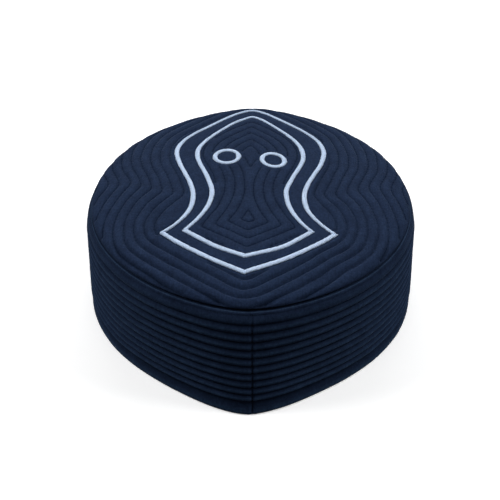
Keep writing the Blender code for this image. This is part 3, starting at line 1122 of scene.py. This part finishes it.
def twisted_thread_group():
    """The twist of a thread, from its UV map: once round is 1 across, and a millimetre is 1 along."""
    group, given, result = new_group("twisted_thread", "Plies", ("Height",))
    split = node(group, "ShaderNodeSeparateXYZ", {0: given.outputs["Position"]})
    around = maths(group, "MULTIPLY", split.outputs["X"], given.outputs["Plies"])
    turned = maths(group, "ADD", around, maths(group, "MULTIPLY", split.outputs["Y"], 0.9))
    wave = maths(group, "SINE", maths(group, "MULTIPLY", turned, math.pi))
    feed(group, result, {"Height": maths(group, "ABSOLUTE", wave)})
    return group


def new_material(name):
    material = bpy.data.materials.new(name)
    material.use_nodes = True
    return material, material.node_tree, material.node_tree.nodes["Principled BSDF"]


def woven_pattern(tree, group, number, value):
    """The outputs of a group of threads, laid out on the piece's UV map."""
    inputs = {"Position": node(tree, "ShaderNodeUVMap", uv_map="cloth").outputs[0], number: value}
    return node(tree, "ShaderNodeGroup", inputs, node_tree=group).outputs


# The darkest navy is painted shade, down in stitch lines and between a thread's plies
NAVY_PAINTED_SHADE = (0.0056, 0.0122, 0.0290)
NAVY = (0.0102, 0.0197, 0.0475)
NAVY_PILLOW = (0.0116, 0.0225, 0.0535)
# A painted highlight for the crests of the band's ribs
RIB_PAINTED_HIGHLIGHT = (0.0185, 0.0385, 0.0800)
# A painted highlight for the band's fold
FOLD_PAINTED_HIGHLIGHT = (0.0210, 0.0360, 0.0680)
THREAD_NAVY = (0.0035, 0.0095, 0.0290)
LIGHT_BLUE = (0.51, 0.635, 0.82)
LIGHT_BLUE_SHADE = (0.35, 0.46, 0.67)
WEAVE_SPACING = 0.42 * MM


def quilted_cotton(name, weave, pillow_colour):
    """Navy cotton: a fine weave, with painted shade down in the stitch lines and the pillow colour on the
    pillows, which on the band is a painted highlight on the ribs' crests.
    """
    material, tree, shader = new_material(name)
    woven = woven_pattern(tree, weave, "Thread Spacing", WEAVE_SPACING)
    height = woven["Height"]
    place = node(tree, "ShaderNodeTexCoord").outputs["Object"]
    patches = noise_pattern(tree, place, 130, detail=6, roughness=0.62)
    fuzz = noise_pattern(tree, place, 800, detail=3, roughness=0.7)
    nap = noise_pattern(tree, place, 1400, detail=3)

    # Colour from the relief attribute: painted shade down in the stitch lines, and a painted highlight
    # where it reaches 1
    relief = node(tree, "ShaderNodeAttribute", attribute_name="relief").outputs["Fac"]
    colour = ramp(tree, relief, [(0, NAVY_PAINTED_SHADE), (0.5, NAVY), (PLAIN_CLOTH, pillow_colour), (1, FOLD_PAINTED_HIGHLIGHT)])
    colour = varied(tree, colour, patches, (0.3, (0.80, 0.81, 0.83)), (0.7, (1.18, 1.16, 1.13)))
    colour = varied(tree, colour, woven["Slub"], (0.3, (0.88, 0.88, 0.90)), (0.7, (1.12, 1.12, 1.10)))
    # Painted shade between the weave's threads
    colour = varied(tree, colour, height, (0.0, (0.62, 0.62, 0.66)), (0.6, (1.08, 1.08, 1.06)), 0.8)
    colour = varied(tree, colour, fuzz, (0.32, (0.72, 0.73, 0.75)), (0.68, (1.30, 1.28, 1.26)))
    feed(tree, shader, {
        "Base Color": colour,
        "Roughness": deep_to_high(tree, height, 0.92, 0.74),
        "Specular IOR Level": 0.05,
        "Sheen Weight": 0.14,
        "Sheen Roughness": 0.28,
        "Sheen Tint": (0.42, 0.62, 1.0, 1),
        "Normal": bumped(tree, height, 0.6, 0.09 * MM, under=bumped(tree, nap, 0.35, 0.10 * MM)),
    })
    return material


def thread_material(name, twist, light, shade, roughness, sheen, specular):
    """Twisted thread, with painted shade between its plies."""
    material, tree, shader = new_material(name)
    height = woven_pattern(tree, twist, "Plies", 3)["Height"]
    patches = noise_pattern(tree, node(tree, "ShaderNodeTexCoord").outputs["Object"], 900)
    colour = ramp(tree, height, [(0.0, shade), (0.5, light)])
    colour = varied(tree, colour, patches, (0.3, (0.90, 0.91, 0.93)), (0.7, (1.06, 1.05, 1.04)))
    feed(tree, shader, {
        "Base Color": colour,
        "Roughness": deep_to_high(tree, height, min(1, roughness + 0.2), roughness),
        "Specular IOR Level": specular,
        "Sheen Weight": sheen,
        "Normal": bumped(tree, height, 0.5, 0.06 * MM),
    })
    return material


# Pieces

weave = plain_weave_group()
twist = twisted_thread_group()
crown_cotton = quilted_cotton("crown_cotton", weave, NAVY_PILLOW)
band_cotton = quilted_cotton("band_cotton", weave, RIB_PAINTED_HIGHLIGHT)
navy_thread = thread_material(
    "navy_thread", twist, THREAD_NAVY, NAVY_PAINTED_SHADE, roughness=0.75, sheen=0, specular=0
)
blue_thread = thread_material(
    "light_blue_thread", twist, LIGHT_BLUE, LIGHT_BLUE_SHADE, roughness=0.42, sheen=0.1, specular=0.5
)

stitch_runs = crown_stitch_runs()
stitch_starts, stitch_ends = crown_stitches(stitch_runs)
needle_holes = np.concatenate([stitch_starts, stitch_ends])
crown_cloth = make_crown_cloth(crown_cotton, np.concatenate(stitch_runs), needle_holes)
band_cloth = make_band_cloth(band_cotton)
crown_thread = make_crown_stitches(stitch_starts, stitch_ends, navy_thread)
band_thread = make_band_stitches(navy_thread)
satin = {
    "outer_outline": make_outline("outer_satin", OUTER_RUNS, blue_thread),
    "inner_outline": make_outline("inner_satin", INNER_RUNS, blue_thread),
}
for ring_name, line in RING_LINES.items():
    across_ring = [satin_run(line, HALF_WIDTH_OF_RING, narrowest=NARROWEST_OF_RING)]
    satin[ring_name] = make_satin(ring_name + "_satin", across_ring, blue_thread)

navy_pieces = (crown_cloth, band_cloth, crown_thread, band_thread)
for piece in (*navy_pieces, *satin.values()):
    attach(piece, "root")
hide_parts("crown_panel")
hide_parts("side_band")
for replaced, piece in satin.items():
    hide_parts(replaced)


# Floor, light and camera. The picture's shifts are in pixels.

CAMERA_AIM_HEIGHT = 29.3 * MM
CAMERA_AIM_DROP = 3.3 * MM
CAMERA_DISTANCE = 684.6 * MM
CAMERA_ELEVATION = math.radians(38.23)
CAMERA_SWING = math.radians(1.2)
LENS_MM = 85.3
PICTURE_SHIFT_RIGHT = 0.8
PICTURE_SHIFT_DOWN = 1.1
PICTURE_WIDTH = 500
MIDDLE_OF_CAP = (0, 0, 0.04)


def add_floor():
    """A plain pale floor, which looks brighter to the camera than the light it throws back at the cap."""
    shape = bmesh.new()
    bmesh.ops.create_grid(shape, x_segments=8, y_segments=8, size=3)
    material, tree, shader = new_material("pale_floor")
    seen = node(tree, "ShaderNodeLightPath").outputs["Is Camera Ray"]
    feed(tree, shader, {
        "Base Color": mixed(tree, "MIX", seen, (0.16, 0.16, 0.17, 1), (0.95, 0.95, 0.95, 1)),
        "Emission Color": (1, 1, 1, 1),
        "Emission Strength": maths(tree, "MULTIPLY", seen, 0.32),
        "Roughness": 0.9,
        "Specular IOR Level": 0.1,
    })
    return add_mesh("floor", shape, material)


def turn_to(thing, aim):
    thing.rotation_euler = (Vector(aim) - thing.location).to_track_quat("-Z", "Y").to_euler()


def add_softbox(name, place, width, height, watts):
    light = bpy.data.lights.new(name, "AREA")
    light.shape = "RECTANGLE"
    light.size = width
    light.size_y = height
    light.energy = watts
    box = add_object(name, light)
    box.location = place
    turn_to(box, MIDDLE_OF_CAP)


def add_camera():
    data = bpy.data.cameras.new("camera")
    data.lens = LENS_MM
    data.clip_start = 0.05
    data.clip_end = 20
    data.shift_x = -PICTURE_SHIFT_RIGHT / PICTURE_WIDTH
    data.shift_y = PICTURE_SHIFT_DOWN / PICTURE_WIDTH
    camera = add_object("camera", data)
    flat = math.cos(CAMERA_ELEVATION)
    across = math.sin(CAMERA_SWING) * flat
    away = Vector((across, -math.cos(CAMERA_SWING) * flat, math.sin(CAMERA_ELEVATION)))
    middle = Vector((0, AXIS_Y, CAMERA_AIM_HEIGHT))
    camera.location = middle + away * CAMERA_DISTANCE
    turn_to(camera, middle - Vector((0, 0, CAMERA_AIM_DROP)))
    bpy.context.scene.camera = camera


def set_sky():
    world = bpy.data.worlds.new("studio")
    world.use_nodes = True
    sky = {"Color": (0.93, 0.96, 1.0, 1), "Strength": 0.125}
    feed(world.node_tree, world.node_tree.nodes["Background"], sky)
    bpy.context.scene.world = world


add_floor()
add_softbox("behind", (0, 1.5, 0.9), 1.6, 0.8, 10)
add_softbox("overhead", (0, -0.35, 1.6), 1.0, 0.8, 2)
add_softbox("left_side", (-1.1, 0.1, 1.05), 0.7, 0.5, 15)
add_softbox("right_side", (1.1, 0.1, 1.05), 0.7, 0.5, 15)
set_sky()
add_camera()
bpy.context.scene.view_settings.view_transform = "Standard"
